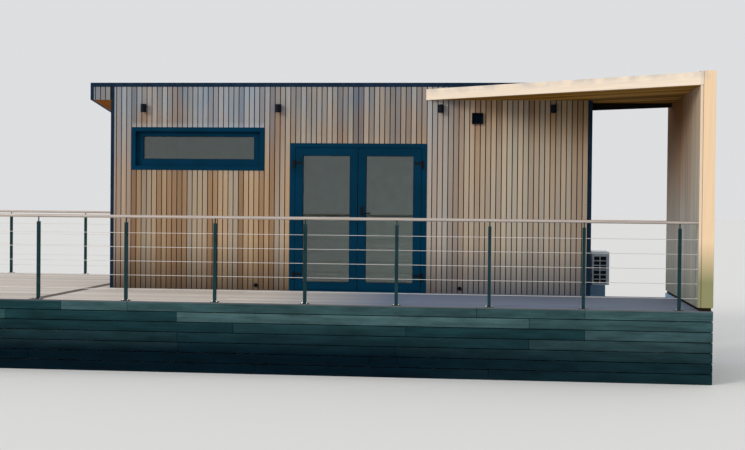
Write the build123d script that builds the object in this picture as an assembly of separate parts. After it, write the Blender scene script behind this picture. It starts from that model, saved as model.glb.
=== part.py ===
from build123d import *
import math
import os

# Tiny house on a boarded platform with a cable railing. Millimetres, +Z up.
# X runs along the front from left to right, Y runs back into the house, and the front faces -Y.
# Drawn from the house's front left corner (X 0, Y 0) at ground level (Z 0). At the end the whole
# model is moved so that its origin is at ground level under the middle of its footprint.

# House. Heights are above the deck, and roof_fall is in degrees.
house_length = 7000
house_depth = 3450
wall_thickness = 160
wall_top = 3016
soffit_height = 2770
roof_fall = 7
left_overhang = 266
rear_overhang = 212
floor_thickness = 180

# Roof edge and corners in folded sheet
cap_sheet = 4
cap_lip = 60
verge_board = 48
corner_trim_leg = 48
corner_trim_sheet = 3

# Platform
platform_height = 903
platform_front = 2430
skirt_board = 25
deck_board = 28
field_joint = 10
joist_width = 45
joist_height = 145

# Window
window_left = 311
window_width = 1977
window_sill = 1742
window_height = 627
reveal_face = 60
reveal_proud = 5
sash_setback = 66
sash_depth = 70
sash_side = 100
sash_top = 70
sash_bottom = 104

# Double door
door_left = 2670
door_width = 1996
door_height = 2145
frame_side = 76
frame_top = 62
frame_proud = 5
frame_depth = 125
stop_width = 15
threshold = 22
leaf_gap = 6
meeting_gap = 10
leaf_depth = 68
leaf_stile = 112
leaf_top_rail = 110
leaf_bottom_rail = 105
pane_thickness = 24
pane_edge = 12

# Flag hinges and lever handle of the door
hinge_heights = (225, 1842)
hinge_height = 120
upper_knuckle = 22
leaf_knuckle = 38
barrel_radius = 8.5
barrel_standoff = 0.5
pin_radius = 4
pin_clearance = 0.06
knuckle_gap = 0.6
flag_gap = 1.5
hinge_sheet = 4
frame_flag = 36
leaf_flag = 104
handle_height = 1175
handle_plate_width = 46
handle_plate_height = 137
handle_plate_sheet = 7
lever_drop = 38
lever_radius = 9
lever_reach = 48
lever_length = 112

# Fittings on the front wall
light_places = (503, 2506, 4860, 6453)
light_height = 2645
light_radius = 41
light_length = 116
light_arm_radius = 12
light_wall_gap = 16
light_rim = 4
light_recess = 22
light_plate_width = 48
light_plate_height = 70
light_plate_sheet = 8
vent_left = 5301
vent_base = 2428
vent_size = 159
vent_depth = 42
vent_rim = 12
vent_blades = 4
vent_blade_sheet = 5
vent_blade_tilt = 40
outlet_places = (2185, 5149)
outlet_height = 74
outlet_radius = 28
outlet_depth = 24
outlet_bore = 19
outlet_bore_depth = 14

# Canopy and wing wall
canopy_lap = 25
canopy_depth = 158
canopy_rear = 500
fascia_board = 28
soffit_board = 18
passage_width = 1160
wing_thickness = 182
wing_rise = 16
wing_rear = 970
edge_board = 28
beam_thickness = 90
beam_drop_at_house = 102
beam_drop_at_wing = 55

# Railing
post_size = 40
post_pitch = 1164
post_offset = 209
hidden_bays = 3
side_bays = 5
back_post_offset = 162
back_post_pitch = 1340
back_post_count = 3
post_edge_gap = 60
post_top = 1008
plate_size = 100
plate_sheet = 8
neck_radius = 8
handrail_radius = 20
handrail_height = 1083
cable_radius = 3
cable_clearance = 0.4
cable_lowest = 150
cable_pitch = 181
cable_count = 5
fitting_radius = 7
fitting_length = 26
flange_radius = 30
flange_sheet = 6
flange_clearance = 6

# Outdoor unit of the air conditioning, on its plinth behind the passage
unit_gap = 87
unit_front = 1000
unit_depth = 780
unit_width = 250
unit_height = 489
unit_above_deck = 99
unit_columns = 2
unit_rows = 6
unit_margin = 22
unit_top_margin = 66
unit_corner_strip = 44
unit_bar = 12
unit_recess = 40
fan_radius = 190
fan_hub = 45
guard_wire = 6
guard_rings = 4
guard_spokes = 8
plinth_width = 280
plinth_margin = 20

# Places that follow from the sizes above
deck_top = platform_height
wing_left = house_length + passage_width
wing_right = wing_left + wing_thickness
fall = math.tan(math.radians(roof_fall))
roof_depth = wall_top - soffit_height
roof_rear = house_depth + rear_overhang
canopy_top = deck_top + soffit_height + canopy_depth
wing_top = canopy_top + wing_rise
soffit = deck_top + soffit_height
cap_top = deck_top + wall_top + cap_sheet
corner_post_x = -post_offset - hidden_bays * post_pitch
front_bays = int((wing_left - corner_post_x - plate_size) / post_pitch)
platform_left = corner_post_x - post_edge_gap
front_rail_y = -platform_front + post_edge_gap
back_rail_y = house_depth - corner_trim_leg - flange_radius - flange_clearance
pier_width = 2 * (post_edge_gap - skirt_board)
door_right = door_left + door_width
canopy_start = door_right - canopy_lap
window_right = window_left + window_width
window_bottom = deck_top + window_sill
window_top = window_bottom + window_height
hinge_axis_y = -frame_proud - barrel_radius - barrel_standoff
left_hinge_x = door_left + frame_side + leaf_gap / 2
right_hinge_x = door_right - frame_side - leaf_gap / 2


def block(x0, x1, y0, y1, z0, z1):
    """Box between two corners."""
    return Pos(x0, y0, z0) * Box(x1 - x0, y1 - y0, z1 - z0, align=(Align.MIN, Align.MIN, Align.MIN))


def upright(points, z0, z1):
    """Upright prism on a flat outline."""
    return Pos(0, 0, z0) * extrude(make_face(Polyline(*points, close=True)), amount=z1 - z0, dir=(0, 0, 1))


def side_prism(outline, x0, x1):
    """Prism along X on an outline of (Y, Z) points."""
    face = make_face(Polyline(*[(x0, y, z) for y, z in outline], close=True))
    return extrude(face, amount=x1 - x0, dir=(1, 0, 0))


def rod(radius, start, end):
    """Round bar from one point to another."""
    axis = Vector(*end) - Vector(*start)
    base = (Align.CENTER, Align.CENTER, Align.MIN)
    return Plane(origin=start, z_dir=axis) * Cylinder(radius, axis.length, align=base)


def roof_underside(y):
    """Height of the roof's underside above ground at a depth y."""
    return soffit - y * fall


def framed(x0, x1, y0, y1, z0, z1, side, bottom, top):
    """Rectangular frame of stiles and rails, open along Y."""
    return block(x0, x1, y0, y1, z0, z1) - block(x0 + side, x1 - side, y0, y1, z0 + bottom, z1 - top)


def glazed(x0, x1, y0, depth, z0, z1, side, bottom, top):
    """Frame with a groove round its opening, and the pane that sits in the groove."""
    middle = y0 + depth / 2
    pane = block(
        x0 + side - pane_edge, x1 - side + pane_edge,
        middle - pane_thickness / 2, middle + pane_thickness / 2,
        z0 + bottom - pane_edge, z1 - top + pane_edge,
    )
    return framed(x0, x1, y0, y0 + depth, z0, z1, side, bottom, top) - pane, pane


# House shell

def base_walls():
    """Ring of plinth walls under the house, down to the ground."""
    inner = block(
        wall_thickness, house_length - wall_thickness,
        wall_thickness, house_depth - wall_thickness, 0, deck_top,
    )
    return block(0, house_length, 0, house_depth, 0, deck_top) - inner


def floor():
    return block(
        wall_thickness, house_length - wall_thickness,
        wall_thickness, house_depth - wall_thickness,
        deck_top - floor_thickness, deck_top,
    )


def front_wall(x0, x1, z0):
    return block(x0, x1, 0, wall_thickness, deck_top + z0, deck_top + wall_top)


def window_hole():
    return block(window_left, window_right, 0, wall_thickness, window_bottom, window_top)


def side_wall(x0):
    """Side wall whose top follows the fall of the roof."""
    rear = house_depth - wall_thickness
    outline = [
        (wall_thickness, deck_top), (rear, deck_top),
        (rear, roof_underside(rear)), (wall_thickness, roof_underside(wall_thickness)),
    ]
    return side_prism(outline, x0, x0 + wall_thickness)


def back_wall():
    front = house_depth - wall_thickness
    outline = [
        (front, deck_top), (house_depth, deck_top),
        (house_depth, roof_underside(house_depth)), (front, roof_underside(front)),
    ]
    return side_prism(outline, 0, house_length)


def roof():
    """Single slope from behind the front wall to the rear eave, past the left wall as well.

    The square block carries the head of the front wall on past the left corner.
    """
    outline = [
        (wall_thickness, roof_underside(wall_thickness)), (roof_rear, roof_underside(roof_rear)),
        (roof_rear, roof_underside(roof_rear) + roof_depth),
        (wall_thickness, roof_underside(wall_thickness) + roof_depth),
    ]
    head = block(-left_overhang, 0, 0, wall_thickness, soffit, deck_top + wall_top)
    return side_prism(outline, -left_overhang, house_length) + head


def roof_edge_cap():
    """Folded cap along the top of the front wall, with a lip down its face."""
    sheet = block(
        -left_overhang, house_length, -cap_sheet, wall_thickness, deck_top + wall_top, cap_top
    )
    lip = block(-left_overhang, house_length, -cap_sheet, 0, cap_top - cap_lip, cap_top)
    return sheet + lip


def verge(x0, y0):
    """Board along a sloping roof edge, as deep as the roof."""
    front_top = cap_top if y0 <= 0 else roof_underside(y0) + roof_depth
    outline = [
        (y0, roof_underside(max(y0, 0))), (roof_rear, roof_underside(roof_rear)),
        (roof_rear, roof_underside(roof_rear) + roof_depth), (y0, front_top),
    ]
    if y0 <= 0:
        outline.insert(1, (0, soffit))
        outline.insert(4, (wall_thickness, cap_top - wall_thickness * fall))
    return side_prism(outline, x0, x0 + verge_board)


def roof_edge_boards():
    """Boards down both sloping edges of the roof and across the rear eave."""
    eave = block(
        -left_overhang - verge_board, house_length + verge_board,
        roof_rear, roof_rear + verge_board,
        roof_underside(roof_rear), roof_underside(roof_rear) + roof_depth,
    )
    left = verge(-left_overhang - verge_board, -cap_sheet)
    right = verge(house_length, canopy_rear + beam_thickness)
    return left + eave + right


def corner_trim(x, y, to_x, to_y, top):
    """Folded angle round a corner of the house. to_x and to_y point into the house."""
    out_x = x - to_x * corner_trim_sheet
    out_y = y - to_y * corner_trim_sheet
    leg_x = x + to_x * corner_trim_leg
    leg_y = y + to_y * corner_trim_leg
    points = [(out_x, out_y), (leg_x, out_y), (leg_x, y), (x, y), (x, leg_y), (out_x, leg_y)]
    return upright(points, deck_top, top)


def corner_trims():
    """One angle on each upright corner, up to the roof or the canopy.

    The face of the left front one runs on past the roof's head to the cap.
    """
    rear_top = roof_underside(house_depth + corner_trim_sheet)
    front_top = roof_underside(corner_trim_leg)
    past_head = block(
        -corner_trim_sheet, corner_trim_leg, -corner_trim_sheet, 0, front_top, cap_top - cap_lip
    )
    return Compound([
        corner_trim(0, 0, 1, 1, front_top) + past_head,
        corner_trim(house_length, 0, -1, 1, soffit),
        corner_trim(0, house_depth, 1, -1, rear_top),
        corner_trim(house_length, house_depth, -1, -1, rear_top),
    ])


# Window

def window_reveal():
    """Sheet-lined frame of the window, flush with the wall inside and a little proud outside."""
    return framed(
        window_left, window_right, -reveal_proud, wall_thickness, window_bottom, window_top,
        reveal_face, reveal_face, reveal_face,
    )


def window_sash():
    return glazed(
        window_left + reveal_face, window_right - reveal_face, sash_setback, sash_depth,
        window_bottom + reveal_face, window_top - reveal_face, sash_side, sash_bottom, sash_top,
    )


# Double door

def door_frame():
    """Frame with a threshold, and a stop behind the leaves."""
    front = -frame_proud
    back = front + frame_depth
    bottom = deck_top
    top = deck_top + door_height
    frame = framed(
        door_left, door_right, front, back, bottom, top,
        frame_side + stop_width, threshold + stop_width, frame_top + stop_width,
    )
    leaf_room = block(
        door_left + frame_side, door_right - frame_side, front, front + leaf_depth + leaf_gap,
        bottom + threshold, top - frame_top,
    )
    return frame - leaf_room


def door_leaf(x0, x1):
    """Leaf and its pane, between its two upright edges."""
    return glazed(
        x0, x1, -frame_proud, leaf_depth,
        deck_top + threshold + leaf_gap, deck_top + door_height - frame_top - leaf_gap,
        leaf_stile, leaf_bottom_rail, leaf_top_rail,
    )


def hinge(axis_x, base, away):
    """Flag hinge: the frame's half with the pin, and the leaf's half. away points to the leaf."""
    low = deck_top + base
    high = low + hinge_height
    leaf_high = high - upper_knuckle
    leaf_low = leaf_high - leaf_knuckle
    face = -frame_proud
    keep_off = barrel_radius + flag_gap

    def flag(width, side, z0, z1):
        x_end = axis_x + side * width
        return block(min(axis_x, x_end), max(axis_x, x_end), face - hinge_sheet, face, z0, z1)

    def barrel(radius, z0, z1):
        return rod(radius, (axis_x, hinge_axis_y, z0), (axis_x, hinge_axis_y, z1))

    fixed = flag(frame_flag, -away, low, high) - flag(keep_off, -away, leaf_low, leaf_high)
    fixed += barrel(barrel_radius, low, leaf_low) + barrel(barrel_radius, leaf_high, high)
    fixed += barrel(pin_radius, low, high)
    moving = flag(leaf_flag, away, leaf_low + knuckle_gap, leaf_high - knuckle_gap)
    moving += barrel(barrel_radius, leaf_low + knuckle_gap, leaf_high - knuckle_gap)
    moving -= barrel(pin_radius + pin_clearance, low, high)
    return fixed, moving


def hinges(axis_x, away):
    """Both hinges of one leaf, as lists of frame halves and leaf halves."""
    pairs = [hinge(axis_x, height - hinge_height / 2, away) for height in hinge_heights]
    return [pair[0] for pair in pairs], [pair[1] for pair in pairs]


def door_handle(x):
    """Back plate and lever on each face of the right leaf's meeting stile."""
    z = deck_top + handle_height
    sets = []
    for face, out in ((-frame_proud, -1), (-frame_proud + leaf_depth, 1)):
        plate_y = face + out * handle_plate_sheet
        end_y = face + out * (lever_reach + lever_radius)
        back_plate = block(
            x - handle_plate_width / 2, x + handle_plate_width / 2,
            min(face, plate_y), max(face, plate_y),
            z - handle_plate_height / 2, z + handle_plate_height / 2,
        )
        lever_z = z - lever_drop
        neck = rod(lever_radius, (x, face, lever_z), (x, end_y, lever_z))
        grip_y = face + out * lever_reach
        grip = rod(lever_radius, (x, grip_y, lever_z), (x + lever_length, grip_y, lever_z))
        sets.append(back_plate + neck + grip)
    return Compound(sets)


# Fittings on the front wall

def wall_light(x):
    """Up and down light: a tube open at both ends on an arm and a wall plate."""
    z = deck_top + light_height
    y = -light_wall_gap - light_radius
    low = z - light_length / 2
    high = z + light_length / 2
    body = rod(light_radius, (x, y, low), (x, y, high))
    well = light_radius - light_rim
    body -= rod(well, (x, y, low), (x, y, low + light_recess))
    body -= rod(well, (x, y, high - light_recess), (x, y, high))
    wall_plate = block(
        x - light_plate_width / 2, x + light_plate_width / 2, -light_plate_sheet, 0,
        z - light_plate_height / 2, z + light_plate_height / 2,
    )
    return body + wall_plate + rod(light_arm_radius, (x, 0, z), (x, y, z))


def wall_vent():
    """Square cowl with sloping blades."""
    z0 = deck_top + vent_base
    z1 = z0 + vent_size
    x1 = vent_left + vent_size
    shell = framed(vent_left, x1, -vent_depth, 0, z0, z1, vent_rim, vent_rim, vent_rim)
    back = block(vent_left, x1, -vent_blade_sheet, 0, z0, z1)
    pitch = (vent_size - 2 * vent_rim) / vent_blades
    reach = vent_depth - vent_blade_sheet
    for i in range(vent_blades):
        middle = Pos((vent_left + x1) / 2, -vent_depth / 2, z0 + vent_rim + (i + 0.5) * pitch)
        blade = middle * Rot(vent_blade_tilt, 0, 0) * Box(vent_size, reach, vent_blade_sheet)
        shell += blade & block(vent_left, x1, -vent_depth, 0, z0, z1)
    return shell + back


def wall_outlet(x):
    """Round capped outlet at the foot of the wall."""
    z = deck_top + outlet_height
    cap = rod(outlet_radius, (x, 0, z), (x, -outlet_depth, z))
    return cap - rod(outlet_bore, (x, -outlet_depth, z), (x, outlet_bore_depth - outlet_depth, z))


# Canopy and wing wall

def canopy_outline():
    """Plan of the canopy inside its fascia: a wedge off the front wall, then over the passage."""
    angle = math.atan2(platform_front, wing_left - canopy_start)
    start = canopy_start + fascia_board / math.sin(angle)
    near = -platform_front + fascia_board / math.cos(angle)
    return [
        (start, 0), (wing_left, near), (wing_left, canopy_rear),
        (house_length, canopy_rear), (house_length, 0),
    ]


def canopy_fascia():
    """Level board along the canopy's front edge, from the wall to the wing wall."""
    outline = canopy_outline()
    points = [(canopy_start, 0), (wing_left, -platform_front), outline[1], outline[0]]
    return upright(points, soffit, canopy_top)


def wing_wall():
    front = -platform_front + edge_board
    return block(wing_left, wing_right, front, wing_rear, deck_top, wing_top)


def wing_edge_board():
    front = -platform_front
    return block(wing_left, wing_right, front, front + edge_board, deck_top, wing_top)


def wing_base():
    """Footing wall under the part of the wing wall that stands behind the deck."""
    return block(wing_left, wing_right, 0, wing_rear, 0, deck_top)


def passage_beam():
    """Beam over the rear of the passage, with an underside that rises towards the wing wall."""
    front = canopy_rear
    outline = Polyline(
        (house_length, front, soffit - beam_drop_at_house), (wing_left, front, soffit - beam_drop_at_wing),
        (wing_left, front, canopy_top), (house_length, front, canopy_top), close=True,
    )
    return extrude(make_face(outline), amount=beam_thickness, dir=(0, 1, 0))


# Platform

def deck():
    """Boards in fields with open joints between: the terrace, the front, and a strip beside the house.

    The joint beside the terrace is in line with the end of the left overhang.
    """
    left = platform_left + skirt_board
    right = field_joint / 2 - left_overhang
    field = block(
        left, right - field_joint, -platform_front + skirt_board,
        house_depth - skirt_board, deck_top - deck_board, deck_top,
    )
    strip = block(right, 0, field_joint, house_depth - skirt_board, deck_top - deck_board, deck_top)
    front = block(
        right, wing_right - skirt_board, -platform_front + skirt_board, 0,
        deck_top - deck_board, deck_top,
    )
    return Compound([field, strip, front])


def joist(x, y0, y1, pier_places):
    """Joist on piers that stand on the ground."""
    top = deck_top - deck_board
    beam = block(x - joist_width / 2, x + joist_width / 2, y0, y1, top - joist_height, top)
    for y in pier_places:
        half = pier_width / 2
        beam += block(x - half, x + half, y - half, y + half, 0, top - joist_height)
    return beam


def deck_frame():
    """Joists across the platform, one under each post of the front railing."""
    front = -platform_front + skirt_board
    rear = house_depth - skirt_board
    middle = front / 2
    joists = []
    for i in range(front_bays + 1):
        x = corner_post_x + i * post_pitch
        if x < -left_overhang:
            joists.append(joist(x, front, rear, (middle, rear / 2)))
        elif x < house_length:
            joists.append(joist(x, front, 0, (middle,)))
        else:
            joists.append(joist(x, front, -skirt_board, (middle,)))
    return Compound(joists)


def skirt_front():
    front = -platform_front
    return block(platform_left, wing_right, front, front + skirt_board, 0, deck_top)


def skirt_left():
    return block(
        platform_left, platform_left + skirt_board,
        -platform_front + skirt_board, house_depth, 0, deck_top,
    )


def skirt_right():
    return block(
        wing_right - skirt_board, wing_right, -platform_front + skirt_board, 0, 0, deck_top
    )


def skirt_rear():
    """Rear skirts of the terrace and of the passage."""
    left = platform_left + skirt_board
    terrace = block(left, 0, house_depth - skirt_board, house_depth, 0, deck_top)
    under_deck = deck_top - deck_board
    passage = block(house_length, wing_left, -skirt_board, 0, 0, under_deck)
    return Compound([terrace, passage])


# Railing

def cable_heights():
    return [deck_top + cable_lowest + i * cable_pitch for i in range(cable_count)]


def rail_post(x, y, along):
    """Post on a base plate, with a coped neck under the handrail. along is the run's direction."""
    half = post_size / 2
    edge = plate_size / 2
    rail_z = deck_top + handrail_height
    step = Vector(*along) * plate_size
    post = block(x - edge, x + edge, y - edge, y + edge, deck_top, deck_top + plate_sheet)
    post += block(x - half, x + half, y - half, y + half, deck_top, deck_top + post_top)
    post += rod(neck_radius, (x, y, deck_top + post_top), (x, y, rail_z))
    for z in cable_heights() + [rail_z]:
        radius = handrail_radius if z == rail_z else cable_radius + cable_clearance
        centre = Vector(x, y, z)
        post -= rod(radius, tuple(centre - step), tuple(centre + step))
    return post


def corner_post(x, y):
    """Post whose cables end on its faces, so that only its neck is coped."""
    half = post_size / 2
    edge = plate_size / 2
    rail_z = deck_top + handrail_height
    post = block(x - edge, x + edge, y - edge, y + edge, deck_top, deck_top + plate_sheet)
    post += block(x - half, x + half, y - half, y + half, deck_top, deck_top + post_top)
    post += rod(neck_radius, (x, y, deck_top + post_top), (x, y, rail_z))
    for end in ((x + edge, y, rail_z), (x, y + edge, rail_z), (x, y - edge, rail_z)):
        post -= rod(handrail_radius, (x, y, rail_z), end)
    return post - Pos(x, y, rail_z) * Sphere(handrail_radius)


def front_posts():
    posts = [corner_post(corner_post_x, front_rail_y)]
    for i in range(1, front_bays + 1):
        posts.append(rail_post(corner_post_x + i * post_pitch, front_rail_y, (1, 0, 0)))
    return Compound(posts)


def side_posts():
    pitch = (back_rail_y - front_rail_y) / side_bays
    return Compound([
        rail_post(corner_post_x, front_rail_y + i * pitch, (0, 1, 0)) for i in range(1, side_bays)
    ])


def back_posts():
    posts = [corner_post(corner_post_x, back_rail_y)]
    for i in range(back_post_count):
        x = -back_post_offset - i * back_post_pitch
        posts.append(rail_post(x, back_rail_y, (1, 0, 0)))
    return Compound(posts)


def cable(start, end):
    """Taut cable with a swaged fitting at each end."""
    line = Vector(*end) - Vector(*start)
    unit = line.normalized()
    inner_start = Vector(*start) + unit * fitting_length
    inner_end = Vector(*end) - unit * fitting_length
    run = rod(cable_radius, start, end)
    run += rod(fitting_radius, start, tuple(inner_start))
    return run + rod(fitting_radius, tuple(inner_end), end)


def front_cables():
    start = corner_post_x + post_size / 2
    return Compound([
        cable((start, front_rail_y, z), (wing_left, front_rail_y, z)) for z in cable_heights()
    ])


def side_cables():
    start = front_rail_y + post_size / 2
    end = back_rail_y - post_size / 2
    return Compound([
        cable((corner_post_x, start, z), (corner_post_x, end, z)) for z in cable_heights()
    ])


def back_cables():
    start = corner_post_x + post_size / 2
    return Compound([cable((start, back_rail_y, z), (0, back_rail_y, z)) for z in cable_heights()])


def handrail(y, wall_x):
    """Run of the handrail with a round elbow over the corner post and a flange on a wall."""
    z = deck_top + handrail_height
    rail = rod(handrail_radius, (corner_post_x, y, z), (wall_x, y, z))
    rail += Pos(corner_post_x, y, z) * Sphere(handrail_radius)
    return rail + rod(flange_radius, (wall_x - flange_sheet, y, z), (wall_x, y, z))


def handrails():
    """Handrail round the platform in one welded length, from the wing wall to the house's left wall."""
    z = deck_top + handrail_height
    side = rod(handrail_radius, (corner_post_x, front_rail_y, z), (corner_post_x, back_rail_y, z))
    return handrail(front_rail_y, wing_left) + side + handrail(back_rail_y, 0)


# Outdoor unit

unit_left = house_length + unit_gap
unit_right = unit_left + unit_width
unit_rear = unit_front + unit_depth
unit_base = deck_top + unit_above_deck
unit_top = unit_base + unit_height
fan_y = unit_front + unit_depth / 2
fan_z = unit_base + unit_height / 2


def unit_housing():
    """Sheet housing with a coil guard in its near side and the fan's mouth in its right side."""
    body = block(unit_left, unit_right, unit_front, unit_rear, unit_base, unit_top)
    guard_width = unit_width - unit_margin - unit_corner_strip
    cell_width = (guard_width - (unit_columns - 1) * unit_bar) / unit_columns
    guard_height = unit_height - unit_margin - unit_top_margin
    cell_height = (guard_height - (unit_rows - 1) * unit_bar) / unit_rows
    for column in range(unit_columns):
        x = unit_left + unit_margin + column * (cell_width + unit_bar)
        for row in range(unit_rows):
            z = unit_base + unit_margin + row * (cell_height + unit_bar)
            body -= block(x, x + cell_width, unit_front, unit_front + unit_recess, z, z + cell_height)
    mouth = rod(fan_radius, (unit_right - unit_recess, fan_y, fan_z), (unit_right, fan_y, fan_z))
    return body - mouth


def unit_guard():
    """Wire guard seated in the fan's mouth: rings, spokes and a hub disc."""
    x1 = unit_right
    x0 = x1 - guard_wire
    guard = rod(fan_hub, (x0, fan_y, fan_z), (x1, fan_y, fan_z))
    for i in range(1, guard_rings + 1):
        radius = fan_hub + (fan_radius - fan_hub) * i / guard_rings
        ring = rod(radius, (x0, fan_y, fan_z), (x1, fan_y, fan_z))
        guard += ring - rod(radius - guard_wire, (x0, fan_y, fan_z), (x1, fan_y, fan_z))
    reach = fan_radius - guard_wire / 2
    for i in range(guard_spokes):
        spoke = block(x0, x1, 0, reach, -guard_wire / 2, guard_wire / 2)
        guard += Pos(0, fan_y, fan_z) * Rot(360 / guard_spokes * i, 0, 0) * spoke
    return guard


def unit_plinth():
    """Masonry plinth of the outdoor unit against the house, down to the ground."""
    return block(
        house_length, house_length + plinth_width,
        unit_front - plinth_margin, unit_rear + plinth_margin, 0, unit_base,
    )


# Assembly

parts = {}
parts["base_walls"] = base_walls()
parts["floor"] = floor()
parts["front_wall_left"] = front_wall(0, door_left, 0) - window_hole()
parts["front_wall_over_door"] = front_wall(door_left, door_right, door_height)
parts["front_wall_right"] = front_wall(door_right, house_length, 0)
parts["side_walls"] = Compound([side_wall(0), side_wall(house_length - wall_thickness)])
parts["back_wall"] = back_wall()
parts["roof"] = roof()
parts["roof_edge_cap"] = roof_edge_cap()
parts["roof_edge_boards"] = roof_edge_boards()
parts["corner_trims"] = corner_trims()

parts["window_reveal"] = window_reveal()
parts["window_sash"], parts["window_pane"] = window_sash()

door_middle = (door_left + door_right) / 2
parts["door_frame"] = door_frame()
left_leaf, parts["left_leaf_pane"] = door_leaf(
    door_left + frame_side + leaf_gap, door_middle - meeting_gap / 2
)
right_leaf, parts["right_leaf_pane"] = door_leaf(
    door_middle + meeting_gap / 2, door_right - frame_side - leaf_gap
)
left_frame_halves, left_leaf_halves = hinges(left_hinge_x, 1)
right_frame_halves, right_leaf_halves = hinges(right_hinge_x, -1)
parts["left_leaf"] = left_leaf
parts["right_leaf"] = right_leaf
parts["frame_hinges"] = Compound(left_frame_halves + right_frame_halves)
parts["left_leaf_hinges"] = Compound(left_leaf_halves)
parts["right_leaf_hinges"] = Compound(right_leaf_halves)
parts["door_handle"] = door_handle(door_middle + meeting_gap / 2 + leaf_stile / 2)

parts["wall_lights"] = Compound([wall_light(x) for x in light_places])
parts["wall_vent"] = wall_vent()
parts["wall_outlets"] = Compound([wall_outlet(x) for x in outlet_places])

parts["canopy_fascia"] = canopy_fascia()
parts["canopy_soffit"] = upright(canopy_outline(), soffit, soffit + soffit_board)
parts["canopy_roof"] = upright(canopy_outline(), soffit + soffit_board, canopy_top)
parts["passage_beam"] = passage_beam()
parts["wing_wall"] = wing_wall()
parts["wing_edge_board"] = wing_edge_board()
parts["wing_base"] = wing_base()

parts["deck"] = deck()
parts["deck_frame"] = deck_frame()
parts["front_skirt"] = skirt_front()
parts["side_skirts"] = Compound([skirt_left(), skirt_right()])
parts["rear_skirts"] = skirt_rear()

parts["railing_posts_front"] = front_posts()
parts["railing_posts_left"] = side_posts()
parts["railing_posts_back"] = back_posts()
parts["cables_front"] = front_cables()
parts["cables_left"] = side_cables()
parts["cables_back"] = back_cables()
parts["handrail"] = handrails()

parts["outdoor_unit"] = unit_housing()
parts["outdoor_unit_guard"] = unit_guard()
parts["outdoor_unit_plinth"] = unit_plinth()

# Origin at ground level under the middle of the footprint
footprint = Compound(list(parts.values())).bounding_box()
to_origin = Pos(
    -(footprint.min.X + footprint.max.X) / 2, -(footprint.min.Y + footprint.max.Y) / 2, 0
)

os.makedirs("parts", exist_ok=True)
for name, shape in parts.items():
    export_step(to_origin * shape, f"parts/{name}.step")
print("origin moved by", to_origin.position)
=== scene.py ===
import math
import random

import bmesh
import bpy
from mathutils import Matrix, Vector


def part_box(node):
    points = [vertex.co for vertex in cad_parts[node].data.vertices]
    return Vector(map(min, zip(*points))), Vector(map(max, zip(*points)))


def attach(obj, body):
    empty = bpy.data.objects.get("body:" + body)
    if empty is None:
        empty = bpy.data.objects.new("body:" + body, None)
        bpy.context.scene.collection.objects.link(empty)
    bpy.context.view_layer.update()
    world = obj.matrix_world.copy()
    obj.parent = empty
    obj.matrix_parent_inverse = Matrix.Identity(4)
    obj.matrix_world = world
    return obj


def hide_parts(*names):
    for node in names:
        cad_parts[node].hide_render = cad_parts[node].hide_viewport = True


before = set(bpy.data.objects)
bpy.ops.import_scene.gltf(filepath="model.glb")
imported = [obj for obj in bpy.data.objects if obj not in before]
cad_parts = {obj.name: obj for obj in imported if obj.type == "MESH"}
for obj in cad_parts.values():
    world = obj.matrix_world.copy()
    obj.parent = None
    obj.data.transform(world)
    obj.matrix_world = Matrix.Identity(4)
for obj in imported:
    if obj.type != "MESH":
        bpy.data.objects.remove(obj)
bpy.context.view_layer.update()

# Larch slats on the front wall.
# Sawn slats stand upright with open joints in front of a black breather membrane. Left unpainted, they
# have gone silver-grey where rain reaches them and stay tan lower down and under the canopy.
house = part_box("front_wall_left")[0]
house_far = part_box("base_walls")[1]
house_length = house_far.x - house.x
house_depth = house_far.y - house.y
wall_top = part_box("front_wall_left")[1].z - house.z
wall_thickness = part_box("front_wall_left")[1].y - house.y
slat_pitch = 0.0763
slat_gap = 0.013
slat_depth = 0.022
lining_depth = 0.020
front_first_gap = 0.081
upward = Vector((0, 0, 1))


def at(x, y, z):
    """Point in metres from the house's front left corner, with z above the deck."""
    return Vector((house.x + x, house.y + y, house.z + z))


def place(node):
    """Lowest and highest corner of a CAD node, measured as at() measures."""
    low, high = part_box(node)
    return low - house, high - house


def linear(code):
    """Linear colour of an sRGB hex value."""
    channels = [int(code[i:i + 2], 16) / 255 for i in (1, 3, 5)]
    return [c / 12.92 if c <= 0.04045 else ((c + 0.055) / 1.055) ** 2.4 for c in channels] + [1.0]


def add(tree, kind, values=None, links=None, stops=None, **settings):
    """Adds a node with its input values, links, ramp stops and settings. Returns its outputs."""
    node = tree.nodes.new("ShaderNode" + kind)
    for key, value in settings.items():
        setattr(node, key, value)
    for socket, value in (values or {}).items():
        node.inputs[socket].default_value = value
    for socket, source in (links or {}).items():
        tree.links.new(source, node.inputs[socket])
    if stops:
        ramp = node.color_ramp
        while len(ramp.elements) < len(stops):
            ramp.elements.new(1.0)
        for element, (position, code) in zip(ramp.elements, stops):
            element.position = position
            element.color = linear(code)
    return node.outputs


def new_material(name, **values):
    """Material with a Principled shader, its input values set. Returns the material, tree and shader."""
    material = bpy.data.materials.new(name)
    material.use_nodes = True
    shader = material.node_tree.nodes["Principled BSDF"]
    for socket, value in values.items():
        shader.inputs[socket.replace("_", " ")].default_value = value
    return material, material.node_tree, shader


def finish(tree, shader, colour, height=None, strength=0.0, rise=0.001):
    """Gives the shader its colour, and bump from a height with a strength and a rise in metres."""
    tree.links.new(colour, shader.inputs["Base Color"])
    if height:
        bump = add(tree, "Bump", {"Strength": strength, "Distance": rise}, {"Height": height})
        tree.links.new(bump[0], shader.inputs["Normal"])


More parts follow.
